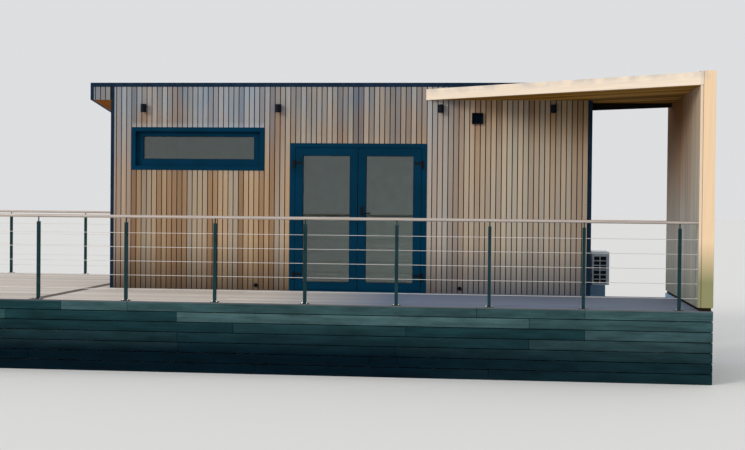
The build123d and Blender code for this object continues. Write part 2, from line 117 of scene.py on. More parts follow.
def pattern(tree, size_mm, detail=2.0, roughness=0.5, distortion=0.0, spot=None):
    """Noise with cells of a size in mm, the same all ways or three along X, Y and Z."""
    sizes = size_mm if isinstance(size_mm, tuple) else (size_mm,) * 3
    spot = spot or add(tree, "TexCoord")["Object"]
    scaled = add(tree, "VectorMath", {1: [1000 / size for size in sizes]}, {0: spot}, operation="MULTIPLY")
    values = {"Scale": 1.0, "Detail": detail, "Roughness": roughness, "Distortion": distortion}
    return add(tree, "TexNoise", values, {"Vector": scaled[0]})[0]


def mottled(name, dark, light, size_mm, detail=2.0, bump=None, **values):
    """Material whose colour wanders between two tones. bump is a strength and a rise in metres."""
    material, tree, shader = new_material(name, **values)
    cells = pattern(tree, size_mm, detail)
    colour = add(tree, "ValToRGB", links={0: cells}, stops=[(0.3, dark), (0.7, light)])[0]
    finish(tree, shader, colour, cells if bump else None, *(bump or ()))
    return material


def axes_of(tree):
    """Distances that at() takes, as three outputs."""
    spot = add(tree, "TexCoord")["Object"]
    from_corner = add(tree, "VectorMath", {1: house}, {0: spot}, operation="SUBTRACT")[0]
    return add(tree, "SeparateXYZ", links={0: from_corner})


def covered(tree, colour, cover, *shares):
    """Colour mixed towards a cover, given as a hex value or an output, by the product of the shares.

    A share is an output, or a distance, its start and end, and the share at the start and at the end.
    """
    product = None
    for share in shares:
        if isinstance(share, tuple):
            distance, start, end, first, last = share
            share = add(tree, "MapRange", {1: start, 2: end, 3: first, 4: last}, {0: distance})[0]
        if product:
            share = add(tree, "Math", links={0: product, 1: share}, operation="MULTIPLY")[0]
        product = share
    if isinstance(cover, str):
        return add(tree, "Mix", {7: linear(cover)}, {0: product, 6: colour}, data_type="RGBA")[2]
    return add(tree, "Mix", links={0: product, 6: colour, 7: cover}, data_type="RGBA")[2]


def shaded(tree, colour, shade):
    """Colour multiplied by a shade, where 1 leaves it as it is."""
    grey = add(tree, "CombineColor", links={i: shade for i in range(3)})[0]
    return add(tree, "Mix", {0: 1.0}, {6: colour, 7: grey}, data_type="RGBA", blend_type="MULTIPLY")[2]


def around(tree, distance, middle, inner, outer, most):
    """Share that is most up to inner metres from a middle and fades to 0 at outer metres."""
    off_middle = add(tree, "Math", {1: middle}, {0: distance}, operation="SUBTRACT")[0]
    either_way = add(tree, "Math", links={0: off_middle}, operation="ABSOLUTE")[0]
    return add(tree, "MapRange", {1: inner, 2: outer, 3: most, 4: 0.0}, {0: either_way})[0]


def grained(tree, stops, streak_mm, depth):
    """Colour of a board from its own tone, darkened along its grain. Also returns the grain itself.

    streak_mm is the distance between streaks across the board, coarse enough to show in the render.
    """
    streak_length_mm = 769.23
    board = add(tree, "Attribute", attribute_name="board")["Vector"]
    tone = add(tree, "Attribute", attribute_name="tone")["Fac"]
    grain = pattern(tree, (streak_length_mm, streak_mm, streak_mm), 5.0, 0.62, 0.25, board)
    own = add(tree, "ValToRGB", links={0: tone}, stops=stops)[0]
    shade = add(tree, "MapRange", {1: 0.3, 2: 0.72, 3: 1 - depth, 4: 1.0}, {0: grain})[0]
    return shaded(tree, own, shade), grain


def hang(name, mesh, body):
    """Puts a mesh in the scene as a piece that rides on a body."""
    thing = bpy.data.objects.new(name, mesh)
    bpy.context.collection.objects.link(thing)
    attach(thing, body)
    return thing


def prisms(name, pieces, materials, body="house", replaces=(), edge=0.0):
    """Mesh of straight pieces, each given as outline, depth, grain direction, tone and material number.

    Each point carries its place along, across and through its board, and the tone of the board.
    """
    points, faces, numbers, places, tones = [], [], [], [], []
    for outline, depth, grain, tone, number in pieces:
        first, count = len(points), len(outline)
        corners = [Vector(p) for p in outline] + [Vector(p) + depth for p in outline]
        points += corners
        faces += [tuple(range(first, first + count)), tuple(range(first + count, first + 2 * count))]
        for i in range(count):
            j = (i + 1) % count
            faces.append((first + i, first + j, first + count + j, first + count + i))
        numbers += [number] * (count + 2)
        through = grain.orthogonal().normalized()
        across = through.cross(grain)
        # Each tone reads another stretch of the grain, so that no two boards look the same.
        shift = Vector((tone * 61, tone * 97, tone * 13))
        places += [Vector((p.dot(grain), p.dot(across), p.dot(through))) + shift for p in corners]
        tones += [tone] * (2 * count)
    mesh = bpy.data.meshes.new(name)
    mesh.from_pydata(points, [], faces)
    for material in materials:
        mesh.materials.append(material)
    mesh.polygons.foreach_set("material_index", numbers)
    mesh.attributes.new("board", "FLOAT_VECTOR", "POINT").data.foreach_set(
        "vector", [value for point in places for value in point]
    )
    mesh.attributes.new("tone", "FLOAT", "POINT").data.foreach_set("value", tones)
    built = bmesh.new()
    built.from_mesh(mesh)
    bmesh.ops.recalc_face_normals(built, faces=built.faces)
    built.to_mesh(mesh)
    built.free()
    thing = hang(name, mesh, body)
    if edge:
        bevel = thing.modifiers.new("eased_edges", "BEVEL")
        bevel.width = edge
        bevel.segments = 1
        bevel.limit_method = "ANGLE"
    if replaces:
        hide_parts(*replaces)


def solid_box(x0, x1, y0, y1, z0, z1, number, tone=0.5, grain=(0, 0, 1)):
    """Upright box between two corners, as a piece for prisms()."""
    outline = [at(x0, y0, z0), at(x1, y0, z0), at(x1, y1, z0), at(x0, y1, z0)]
    return outline, upward * (z1 - z0), Vector(grain), tone, number


def slats(origin, run, out, length, first_gap, top, seed, bottom=0.0, openings=(), start=0.0):
    """Slats along a wall, cut round its openings, as pairs of the middle's distance and the piece.

    top gives the height at a distance along the wall. openings are (start, end, bottom, top).
    """
    dice = random.Random(seed)
    run, out = Vector(run), Vector(out)
    edges = [start] + [
        first_gap + i * slat_pitch for i in range(int(length / slat_pitch) + 2)
        if start < first_gap + i * slat_pitch < length
    ] + [length]
    found = []
    for left, right in zip(edges, edges[1:]):
        tone = dice.random()
        a = left if left == start else left + slat_gap / 2
        b = right if right == length else right - slat_gap / 2
        if b - a < slat_gap:
            continue
        cuts = {a, b}
        for opening in openings:
            cuts |= {s for s in opening[:2] if a < s < b}
        cuts = sorted(cuts)
        for s0, s1 in zip(cuts, cuts[1:]):
            middle = (s0 + s1) / 2
            spans, low = [], bottom
            for _, _, z0, z1 in sorted((o for o in openings if o[0] < middle < o[1]), key=lambda o: o[2]):
                if z0 > low:
                    spans.append((low, z0, z0))
                low = z1
            spans.append((low, top(s0), top(s1)))
            for z0, z_left, z_right in spans:
                outline = [
                    origin + run * s0 + upward * z0, origin + run * s1 + upward * z0,
                    origin + run * s1 + upward * z_right, origin + run * s0 + upward * z_left,
                ]
                found.append((middle, (outline, -out * slat_depth, upward, tone, 0)))
    return found


def new_larch(name):
    """Sawn larch before weathering. Returns the material, tree, shader, colour, grain, axes and patches."""
    material, tree, shader = new_material(name, Roughness=0.85, Specular_IOR_Level=0.2)
    tan, grain = grained(
        tree,
        [(0.0, "#947455"), (0.2, "#AB8764"), (0.45, "#BA9973"), (0.7, "#C5A785"), (0.88, "#B8A792"),
         (1.0, "#A19384")],
        9, 0.22,
    )
    noise = pattern(tree, (200, 200, 625), 3.0)
    patches = add(tree, "MapRange", {1: 0.3, 2: 0.7, 3: 0.55, 4: 1.15}, {0: noise})[0]
    return material, tree, shader, tan, grain, axes_of(tree), patches


def silvered(tree, tan, grain, share, patches):
    """Colour of larch with a share of it gone silver-grey, more in some patches than in others."""
    tone = add(tree, "Attribute", attribute_name="tone")["Fac"]
    own = add(
        tree, "ValToRGB", links={0: tone},
        stops=[(0.0, "#6E7987"), (0.3, "#868E96"), (0.6, "#A3A8AC"), (0.8, "#94979B"), (1.0, "#827F7C")],
    )[0]
    shade = add(tree, "MapRange", {1: 0.25, 2: 0.7, 3: 0.72, 4: 1.0}, {0: grain})[0]
    return covered(tree, tan, shaded(tree, own, shade), share, patches)


# Sawn larch: matt and rough, with a tone of its own for each slat and fine streaks along the grain,
# drawn 9 mm apart because the real ones of 2 mm would not show.
larch, tree, shader, tan, grain, (across, inward, height), patches = new_larch("weathered_larch_sawn")
# Silver-grey comes on with height above the deck. Under the canopy it is spread more evenly.
canopy_start = place("canopy_fascia")[0].x
high_up = add(tree, "MapRange", {1: 1.55, 2: 2.75, 3: 0.06, 4: 0.92}, {0: height})[0]
even = add(tree, "MapRange", {1: 0.0, 2: 2.4, 3: 0.62, 4: 0.2}, {0: height})[0]
under_canopy = add(tree, "MapRange", {1: canopy_start - 0.3, 2: canopy_start + 0.9}, {0: across})[0]
share = add(tree, "Mix", links={0: under_canopy, 2: high_up, 3: even})[0]
colour = silvered(tree, tan, grain, share, patches)
# Sheltered streaks on the front keep their fresh colour under the lights and the vent.
light_low, light_high = place("wall_lights")
light_radius = 0.041
middle_lights = (2.506, 4.860)
light_places = (light_low.x + light_radius, *middle_lights, light_high.x - light_radius)
vent_low, vent_high = place("wall_vent")
on_front = add(tree, "Math", {1: 0.1}, {0: inward}, operation="LESS_THAN")[0]
below_fittings = add(tree, "Math", {1: light_low.z}, {0: height}, operation="LESS_THAN")[0]
streaks = [(x, light_low.z, 0.13) for x in light_places]
streaks.append(((vent_low.x + vent_high.x) / 2, vent_low.z, 0.10))
for x, below, half_width in streaks:
    near = around(tree, across, x, 0.015, half_width, 0.5)
    under = (height, below - 1.5, below - 0.3, 0.0, 1.0)
    colour = covered(tree, colour, "#93683F", near, under, below_fittings, on_front)
# The ends of the slats are bleached where water stands on the window's head.
window_low, window_high = place("window_reveal")
door_low, door_high = place("door_frame")
window_middle = (window_low.x + window_high.x) / 2
half_window = (window_high.x - window_low.x) / 2
over_window = around(tree, across, window_middle, half_window, half_window + 0.001, 1.0)
at_head = (height, window_high.z, window_high.z + 0.08, 0.5, 0.0)
over_head = add(tree, "Math", {1: window_high.z - 0.01}, {0: height}, operation="GREATER_THAN")[0]
colour = covered(tree, colour, "#BBC0C6", over_window, at_head, over_head, on_front, patches)
# The left end is a little darker up to head height. So are the slats past the corner and over the door.
left_end = add(tree, "MapRange", {1: 0.3, 2: 2.4, 3: 0.22, 4: 0.04}, {0: across})[0]
low_part = add(tree, "MapRange", {1: 2.2, 2: 2.6, 3: 1.0, 4: 0.0}, {0: height})[0]
outer_slats = add(tree, "MapRange", {1: 0.29, 2: 0.33, 3: 0.2, 4: 0.0}, {0: across})[0]
past_corner = add(tree, "MapRange", {1: -0.03, 2: 0.0, 3: 0.4, 4: 0.0}, {0: across})[0]
head_part = add(tree, "MapRange", {1: 2.1, 2: 2.3}, {0: height})[0]
over_door = around(tree, across, (door_low.x + door_high.x) / 2, 0.95, 1.1, 0.1)
over_door = add(tree, "Math", links={0: over_door, 1: head_part}, operation="MULTIPLY")[0]
dim = add(tree, "Math", links={0: left_end, 1: low_part}, operation="MULTIPLY")[0]
dim = add(tree, "Math", links={0: dim, 1: outer_slats}, operation="SUBTRACT", use_clamp=True)[0]
for other in (past_corner, over_door):
    dim = add(tree, "Math", links={0: dim, 1: other}, operation="MAXIMUM")[0]
colour = covered(tree, colour, "#2E241B", dim)
# The head over the window's right half is washed to a bluer grey.
colour = covered(tree, colour, "#7595B2", around(tree, across, 1.75, 0.4, 0.75, 0.28), head_part)
# The slats by the left corner and those just right of the door have gone greyer than their neighbours.
past_door = add(tree, "Math", {1: door_high.x}, {0: across}, operation="GREATER_THAN")[0]
by_door = (across, 4.9, 5.2, 0.3, 0.0)
colour = covered(tree, colour, "#B0BAC2", by_door, past_door)
colour = covered(tree, colour, "#B0BAC2", outer_slats)
# Rain never reaches the slats under the canopy: they have dried pale. Near the soffit they darken to a
# painted brown shade, standing for the canopy's shadow and the brown light its boards throw down.
dry_across = (across, canopy_start, canopy_start + 1.5, 0.1, 0.5)
dry_height = (height, 2.1, 2.6, 1.0, 0.0)
far_side = (across, 5.8, 6.7, 1.0, 0.4)
colour = covered(tree, colour, "#D8CBB5", dry_across, dry_height, far_side, under_canopy)
soffit_shade_across = (across, canopy_start + 0.9, canopy_start + 2.6, 0.0, 1.0)
soffit_shade_height = (height, 1.8, 2.7, 0.0, 0.65)
colour = covered(tree, colour, "#5E4A1A", soffit_shade_across, soffit_shade_height)
# The lowest 0.7 m is darker, partly from splashes off the deck and partly as painted shade at the foot. Right
# of the door that dark is a painted blue-grey, shade lit by the sky.
splash = (height, 0.0, 0.72, 0.85, 0.0)
splash_and_shade_colours = {6: linear("#44382F"), 7: linear("#4C5563")}
splash_and_shade_colour = add(tree, "Mix", splash_and_shade_colours, {0: under_canopy}, data_type="RGBA")[2]
finish(tree, shader, covered(tree, colour, splash_and_shade_colour, splash), grain, 0.35, 0.002)

# Woven black membrane: dull, with a faint mottle, in the shade of the slats.
membrane = mottled(
    "black_breather_membrane", "#17120E", "#241B14", 16.667, Roughness=0.95, Specular_IOR_Level=0.1
)
# Skimmed plasterboard in matt paint: off-white, with the wide soft marks of the trowel.
plaster = mottled(
    "skimmed_plasterboard_emulsion", "#C9C4BA", "#D5D1C8", 166.67, 5.0, bump=(0.1, 0.001), Roughness=0.85
)

front_slats = slats(
    at(0, 0, 0), (1, 0, 0), (0, -1, 0), house_length, front_first_gap, lambda s: wall_top, 4,
    openings=[
        (window_low.x, window_high.x, window_low.z, window_high.z),
        (door_low.x, door_high.x, 0.0, door_high.z),
    ],
)
# The side walls' slats run on over the ends of the front and back walls, with a joint on that line.
fall = math.tan(math.radians(7))
soffit = place("canopy_soffit")[0].z


def underside(y):
    """Height of the roof's underside above the deck."""
    return soffit - y * fall


wall_ends = (("left", 0.0, -1), ("right", house_length, 1))
side_slats = {
    name: slats(
        at(x, 0, 0), (0, 1, 0), (out, 0, 0), house_depth, wall_thickness - slat_pitch, underside,
        11 + out, start=wall_thickness - 2 * slat_pitch,
    ) for name, x, out in wall_ends
}
core_front = slat_depth
core_back = wall_thickness - lining_depth
leftmost = slat_depth
rightmost = house_length - slat_depth
inner_left = wall_thickness
inner_right = house_length - wall_thickness
left_pieces = [piece for s, piece in front_slats if s < door_low.x]
left_pieces += [piece for s, piece in side_slats["left"] if s < wall_thickness]
over_pieces = [piece for s, piece in front_slats if door_low.x < s < door_high.x]
right_pieces = [piece for s, piece in front_slats if s > door_high.x]
right_pieces += [piece for s, piece in side_slats["right"] if s < wall_thickness]
for y0, y1, x0, x1, number in (
    (core_front, core_back, leftmost, rightmost, 1), (core_back, wall_thickness, inner_left, inner_right, 2)
):
    left_pieces += [
        solid_box(x0, window_low.x, y0, y1, 0, wall_top, number),
        solid_box(window_high.x, door_low.x, y0, y1, 0, wall_top, number),
        solid_box(window_low.x, window_high.x, y0, y1, 0, window_low.z, number),
        solid_box(window_low.x, window_high.x, y0, y1, window_high.z, wall_top, number),
    ]
    over_pieces.append(solid_box(door_low.x, door_high.x, y0, y1, door_high.z, wall_top, number))
    right_pieces.append(solid_box(door_high.x, x1, y0, y1, 0, wall_top, number))
wall_layers = [larch, membrane, plaster]
for name, pieces, node in (
    ("cladding_front_left", left_pieces, "front_wall_left"),
    ("cladding_over_door", over_pieces, "front_wall_over_door"),
    ("cladding_front_right", right_pieces, "front_wall_right"),
):
    prisms(name, pieces, wall_layers, replaces=[node])

# Side and back walls.
# The same slats, membrane and lining as in front, with tops that follow the fall of the roof. Every slat
# of the house is held by one small screw a batten.
rear_inner = house_depth - wall_thickness


def sloped(x0, x1, y0, y1, number):
    """Wall layer between two depths whose top follows the roof."""
    outline = [at(x0, y0, 0), at(x0, y1, 0), at(x0, y1, underside(y1)), at(x0, y0, underside(y0))]
    return outline, Vector((x1 - x0, 0, 0)), upward, 0.5, number


side_pieces = [
    piece for pieces in side_slats.values() for s, piece in pieces if wall_thickness < s < rear_inner
]
side_pieces += [
    sloped(x0, x1, wall_thickness, rear_inner, number) for x0, x1, number in (
        (leftmost, wall_thickness - lining_depth, 1), (wall_thickness - lining_depth, inner_left, 2),
        (inner_right + lining_depth, rightmost, 1), (inner_right, inner_right + lining_depth, 2),
    )
]
prisms("cladding_sides", side_pieces, wall_layers, replaces=["side_walls"])
back_pieces = [piece for pieces in side_slats.values() for s, piece in pieces if s > rear_inner]
back_pieces += [
    piece for s, piece in slats(
        at(0, house_depth, 0), (1, 0, 0), (0, 1, 0), house_length, front_first_gap,
        lambda s: underside(house_depth), 23,
    )
]
back_pieces += [
    sloped(leftmost, rightmost, rear_inner + lining_depth, house_depth - slat_depth, 1),
    sloped(inner_left, inner_right, rear_inner, rear_inner + lining_depth, 2),
]
prisms("cladding_back", back_pieces, wall_layers, replaces=["back_wall"])


def studs(name, places, out, radius, height, material, body="house", sides=8):
    """Heads of fixings on a surface, as one mesh of low cut cones that stand out from it."""
    sunk, narrowing = -0.0005, 0.82
    out = Vector(out)
    across = out.orthogonal().normalized()
    beside = out.cross(across)
    points, faces = [], []
    for place_of_head in places:
        first = len(points)
        for level, share in ((sunk, 1.0), (height, narrowing)):
            for i in range(sides):
                angle = 2 * math.pi * i / sides
                rim = (across * math.cos(angle) + beside * math.sin(angle)) * radius * share
                points.append(place_of_head + out * level + rim)
        faces.append(tuple(range(first + sides - 1, first - 1, -1)))
        faces.append(tuple(range(first + sides, first + 2 * sides)))
        for i in range(sides):
            j = (i + 1) % sides
            faces.append((first + i, first + j, first + sides + j, first + sides + i))
    mesh = bpy.data.meshes.new(name)
    mesh.from_pydata(points, [], faces)
    mesh.materials.append(material)
    hang(name, mesh, body)


# Stainless screws gone dull: grey metal with a slightly uneven tarnish.
screw_steel = mottled("stainless_screw_heads", "#6E675F", "#8F8A84", 3.3333, Metallic=1.0, Roughness=0.45)
screw_radius = 0.0035
screw_rise = 0.0006
batten_pitch = 0.6
lowest_batten, highest_batten = 0.1, wall_top - 0.09
batten_rows = [lowest_batten + i * batten_pitch for i in range(5)] + [highest_batten]
middles = [front_first_gap + (i + 0.5) * slat_pitch for i in range(int(house_length / slat_pitch) - 1)]
off_side, off_end = 0.03, 0.02
in_openings = (
    (window_low.x - off_side, window_high.x + off_side, window_low.z - off_end, window_high.z + off_end),
    (door_low.x - off_side, door_high.x + off_side, -1, door_high.z + off_end),
)
screw_rows = [("front", (0, -1, 0), [
    at(x, 0, z) for x in middles for z in batten_rows
    if not any(x0 < x < x1 and z0 < z < z1 for x0, x1, z0, z1 in in_openings)
])]
screw_rows.append(("back", (0, 1, 0), [at(x, house_depth, z) for x in middles for z in batten_rows[:-1]]))
side_middles = [wall_thickness + (i + 0.5) * slat_pitch for i in range(int(rear_inner / slat_pitch) - 2)]
for name, x, out in wall_ends:
    screw_rows.append((name, (out, 0, 0), [
        at(x, y, z) for y in side_middles for z in batten_rows[:-1] if z < underside(y) - 0.05
    ]))
for name, out, places in screw_rows:
    studs(name + "_slat_screws", places, out, screw_radius, screw_rise, screw_steel)

# Roof.
# Insulated slope under standing-seam steel sheet, with slats on its head where it passes the left
# corner, oiled boards under both overhangs and a plaster ceiling in the room.
roof_low, roof_high = place("roof")
roof_depth = wall_top - soffit
roof_rear = roof_high.y
sheet_thickness = 0.012
seam_height = 0.024
seam_width = 0.014
seam_pitch = 0.50
soffit_board_width = 0.095
soffit_board_depth = 0.018
board_joint = 0.004
head_first_gap = 0.025


def along_slope(x0, x1, y0, y1, low, high, number, tone=0.5, grain=(0, 1, 0)):
    """Layer of the roof between two depths, low and high measured up from its underside."""
    outline = [
        at(x0, y0, underside(y0) + low), at(x0, y1, underside(y1) + low),
        at(x0, y1, underside(y1) + high), at(x0, y0, underside(y0) + high),
    ]
    return outline, Vector((x1 - x0, 0, 0)), Vector(grain), tone, number


def plain_boards(name, stops, streak_mm, depth, strength, **values):
    """Material of planed boards with their own tones and grain and no weathering."""
    material, tree, shader = new_material(name, **values)
    own, grain = grained(tree, stops, streak_mm, depth)
    finish(tree, shader, own, grain, strength)
    return material


# Coated steel sheet: smooth, with a broad film of dust that dulls it in places.
steel_sheet, tree, shader = new_material("coated_steel_roof_sheet")
dust = pattern(tree, 333.33, 6.0, 0.7)
dull = add(tree, "MapRange", {1: 0.3, 2: 0.7, 3: 0.36, 4: 0.55}, {0: dust})[0]
tree.links.new(dull, shader.inputs["Roughness"])
finish(tree, shader, add(tree, "ValToRGB", links={0: dust}, stops=[(0.3, "#2B3A48"), (0.7, "#3A4856")])[0])
# Oiled cedar, planed: a warm red-brown that stays matt in the shade, with streaks drawn 10 mm apart. Its
# strong orange is partly painted light, the warm glow thrown up from the sunlit wall below.
oiled_soffit = plain_boards(
    "oiled_cedar_planed", [(0.0, "#A26018"), (0.5, "#BB771F"), (1.0, "#CE8C29")], 10, 0.3, 0.2,
    Roughness=0.85, Specular_IOR_Level=0.06,
)

dice = random.Random(31)
sheet_low = roof_depth - sheet_thickness
roof_pieces = [
    solid_box(roof_low.x, 0, slat_depth, wall_thickness, soffit, wall_top, 1),
    along_slope(roof_low.x, house_length, wall_thickness, roof_rear, soffit_board_depth, sheet_low, 1),
    along_slope(roof_low.x, house_length, wall_thickness, roof_rear, sheet_low, roof_depth, 3),
    along_slope(inner_left, inner_right, wall_thickness, rear_inner, 0, soffit_board_depth, 2),
]
roof_pieces += [
    piece for s, piece in slats(
        at(roof_low.x, 0, 0), (1, 0, 0), (0, -1, 0), -roof_low.x, head_first_gap,
        lambda s: wall_top, 41, bottom=soffit,
    )
]
for i in range(int(-roof_low.x / soffit_board_width) + 1):
    x0 = roof_low.x + i * soffit_board_width
    x1 = min(x0 + soffit_board_width - board_joint, 0)
    roof_pieces.append(along_slope(x0, x1, slat_depth, roof_rear, 0, soffit_board_depth, 4, dice.random()))
for i in range(int((roof_rear - house_depth) / soffit_board_width) + 1):
    y0 = house_depth + i * soffit_board_width
    y1 = min(y0 + soffit_board_width - board_joint, roof_rear)
    roof_pieces.append(
        along_slope(0, house_length, y0, y1, 0, soffit_board_depth, 4, dice.random(), (1, 0, 0))
    )
seam_start = wall_thickness + 0.06
for i in range(int((house_length - roof_low.x) / seam_pitch)):
    x = roof_low.x + (i + 0.5) * seam_pitch
    roof_pieces.append(along_slope(
        x - seam_width / 2, x + seam_width / 2, seam_start, roof_rear, roof_depth, roof_depth + seam_height, 3
    ))
roof_materials = [larch, membrane, plaster, steel_sheet, oiled_soffit]
prisms("roof_layers", roof_pieces, roof_materials, replaces=["roof"])

# Canopy.
# A level wedge from the front wall to the wing wall. Its front edge is a planed, pale stained board,
# and brown boards run under it in line with that edge. The deck side of the roof is steel sheet.
fascia_low, fascia_high = place("canopy_fascia")
wing_low, wing_high = place("wing_wall")
canopy_rear = place("canopy_soffit")[1].y
fascia_line = Vector((fascia_high.x - fascia_low.x, fascia_low.y, 0)).normalized()
fascia_inward = Vector((-fascia_line.y, fascia_line.x, 0))
fascia_thickness = 0.028
canopy_board_width = 0.120

# Planed larch in a pale stain: smooth with a soft sheen, and faint streaks drawn 14 mm apart.
pale_board, tree, shader = new_material("pale_stained_larch_planed", Roughness=0.7, Specular_IOR_Level=0.3)
own, grain = grained(tree, [(0.0, "#E6CDAF"), (0.5, "#F1E0CC"), (1.0, "#F6CF9E")], 14, 0.14)
_, _, height = axes_of(tree)
# Grey water marks gather along the top edge of the canopy. Low down on the wing's edge the boards turn
# green-grey, partly algae and partly painted shade.
near_top = (height, soffit + 0.05, fascia_high.z, 0.0, 0.8)
marks = (pattern(tree, 222.22, 4.0), 0.42, 0.62, 0.0, 1.0)
colour = covered(tree, own, "#BDB6AE", near_top, marks)
near_foot = (height, 0.35, 0.85, 0.95, 0.0)
finish(tree, shader, covered(tree, colour, "#81835A", near_foot), grain, 0.15)

fascia_start = at(fascia_low.x, 0, soffit)
fascia_end = at(fascia_high.x, fascia_low.y, soffit)
fascia_angle = math.atan2(-fascia_line.y, fascia_line.x)
inner_start = at(fascia_low.x + fascia_thickness / math.sin(fascia_angle), 0, soffit)
inner_end = at(fascia_high.x, fascia_low.y + fascia_thickness / fascia_line.x, soffit)
fascia_outline = [fascia_start, fascia_end, inner_end, inner_start]
prisms(
    "canopy_fascia_board", [(fascia_outline, upward * (fascia_high.z - soffit), fascia_line, 0.42, 0)],
    [pale_board], replaces=["canopy_fascia"], edge=0.003,
)


def clipped(outline, point, normal):
    """Part of a flat outline on the side of a line that the normal points to."""
    kept = []
    for a, b in zip(outline, outline[1:] + outline[:1]):
        side_a = (a - point).dot(normal)
        side_b = (b - point).dot(normal)
        if side_a >= 0:
            kept.append(a)
        if side_a * side_b < 0:
            kept.append(a.lerp(b, side_a / (side_a - side_b)))
    return kept


# Planed larch in a brown stain: almost without gloss, yellow-brown, with streaks drawn 12 mm apart.
stained_soffit = plain_boards(
    "brown_stained_larch_planed", [(0.0, "#7C540F"), (0.4, "#946618"), (0.75, "#C29246"), (1.0, "#67430B")],
    12, 0.3, 0.2, Roughness=0.9, Specular_IOR_Level=0.04,
)
wedge = [inner_start, inner_end, at(fascia_high.x, 0, soffit)]
over_passage = [
    at(house_length, 0, soffit), at(fascia_high.x, 0, soffit),
    at(fascia_high.x, canopy_rear, soffit), at(house_length, canopy_rear, soffit),
]
dice = random.Random(53)
soffit_pieces = []
reach = (at(fascia_high.x, canopy_rear, soffit) - inner_start).dot(fascia_inward)
for i in range(int(reach / canopy_board_width) + 1):
    near = inner_start + fascia_inward * (i * canopy_board_width)
    far = near + fascia_inward * (canopy_board_width - board_joint)
    tone = dice.random()
    for area in (wedge, over_passage):
        strip = clipped(clipped(area, near, fascia_inward), far, -fascia_inward)
        if len(strip) > 2:
            soffit_pieces.append((strip, upward * soffit_board_depth, fascia_line, tone, 0))
prisms("canopy_soffit_boards", soffit_pieces, [stained_soffit], replaces=["canopy_soffit"])


def paint(material, *nodes):
    """Gives CAD nodes a material of their own."""
    for node in nodes:
        for slot_of_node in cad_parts[node].material_slots:
            slot_of_node.material = material


# Planed softwood, near black, with streaks drawn 17 mm apart along the beam.
paint(mottled(
    "near_black_beam", "#0F0D0B", "#1C1713", (500, 16.667, 16.667), 4.0,
    Roughness=0.8, Specular_IOR_Level=0.1,
), "passage_beam")
paint(steel_sheet, "canopy_roof")

# Wing wall.
# Slats on a frame at the passage's right, on both faces and the rear end, standing 42 mm clear of the
# deck, with two pale boards on the front edge and an aluminium cap on top.
edge_low, edge_high = place("wing_edge_board")
foot_gap = 0.042
cap_depth = 0.004
# The same sawn larch, silvered lower down, a fifth paler all over and splashed green at the foot.
wing_larch, tree, shader, tan, grain, (across, inward, height), patches = new_larch("weathered_larch_on_wing")
silver_height = add(tree, "MapRange", {1: 1.0, 2: 2.7, 3: 0.95, 4: 0.2}, {0: height})[0]
colour = silvered(tree, tan, grain, silver_height, patches)
colour = add(tree, "Mix", {0: 0.2, 7: linear("#DAD8C0")}, {6: colour}, data_type="RGBA")[2]
splash = (height, 0.0, 0.6, 0.6, 0.0)
colour = covered(tree, colour, "#616B5E", splash)
# Under the canopy the face towards the passage darkens to a painted brown shade, standing for the canopy's
# shadow and the brown light its boards throw down.
inner_face = add(tree, "Math", {1: wing_low.x + slat_depth}, {0: across}, operation="LESS_THAN")[0]
brown_height = (height, 0.9, 2.5, 0.0, 0.95)
brown_depth = (inward, -2.2, -0.6, 0.2, 1.05)
colour = covered(tree, colour, "#704408", inner_face, brown_height, brown_depth)
finish(tree, shader, colour, grain, 0.35, 0.002)
# Aluminium as rolled, weathered to a dull pale grey.
cap_metal = mottled(
    "mill_finish_aluminium_cap", "#CFC6B8", "#DED6CA", 33.333, 4.0, Metallic=1.0, Roughness=0.5
)
cap_bottom = wing_high.z - cap_depth
wing_pieces = []
for x, out in ((wing_low.x, -1), (wing_high.x, 1)):
    wing_pieces += [
        piece for s, piece in slats(
            at(x, wing_low.y, 0), (0, 1, 0), (out, 0, 0), wing_high.y - wing_low.y, slat_pitch,
            lambda s: cap_bottom, 61 + out, bottom=foot_gap,
        )
    ]
wing_pieces += [
    piece for s, piece in slats(
        at(wing_low.x, wing_high.y, 0), (1, 0, 0), (0, 1, 0), wing_high.x - wing_low.x - slat_depth,
        slat_pitch + slat_depth, lambda s: cap_bottom, 67, bottom=foot_gap, start=slat_depth,
    )
]
wing_pieces += [
    solid_box(
        wing_low.x + slat_depth, wing_high.x - slat_depth, wing_low.y, wing_high.y - slat_depth,
        0, cap_bottom, 1,
    ),
    solid_box(wing_low.x, wing_high.x, edge_high.y, wing_high.y, cap_bottom, wing_high.z, 2),
]
wing_layers = [wing_larch, membrane, cap_metal]
prisms("wing_cladding", wing_pieces, wing_layers, replaces=["wing_wall"])
strip_width = 0.034
strip_setback = 0.014
strip_right = edge_low.x + strip_width
strip_front = edge_low.y + strip_setback
edge_pieces = [
    solid_box(edge_low.x, strip_right, strip_front, edge_high.y, foot_gap, soffit, 0, 0.15),
    solid_box(edge_low.x, strip_right, edge_low.y, edge_high.y, soffit, edge_high.z, 0, 0.42, (1, 0, 0)),
    solid_box(
        strip_right + board_joint, edge_high.x, edge_low.y, edge_high.y, foot_gap, edge_high.z, 0, 0.85
    ),
    solid_box(
        edge_low.x + slat_depth, edge_high.x - slat_depth, strip_front, edge_high.y, 0, foot_gap, 1
    ),
]
prisms(
    "wing_edge_boards", edge_pieces, [pale_board, membrane],
    replaces=["wing_edge_board"], edge=0.002,
)

# Roof edge, corner angles, door and window.
# Folded and extruded metal with one baked anthracite coat. The door and window are thermally broken
# aluminium with a fine matt coat, gaskets round the double glazing and screws through the hinges.
# Coated steel, folded: nearly flat blue-black with slow changes of tone.
folded_steel = mottled(
    "anthracite_coated_steel", "#0A1F33", "#122B42", 111.11, 6.0, bump=(0.05, 0.001),
    Roughness=0.5, Specular_IOR_Level=0.06,
)
paint(folded_steel, "roof_edge_cap", "roof_edge_boards", "corner_trims")
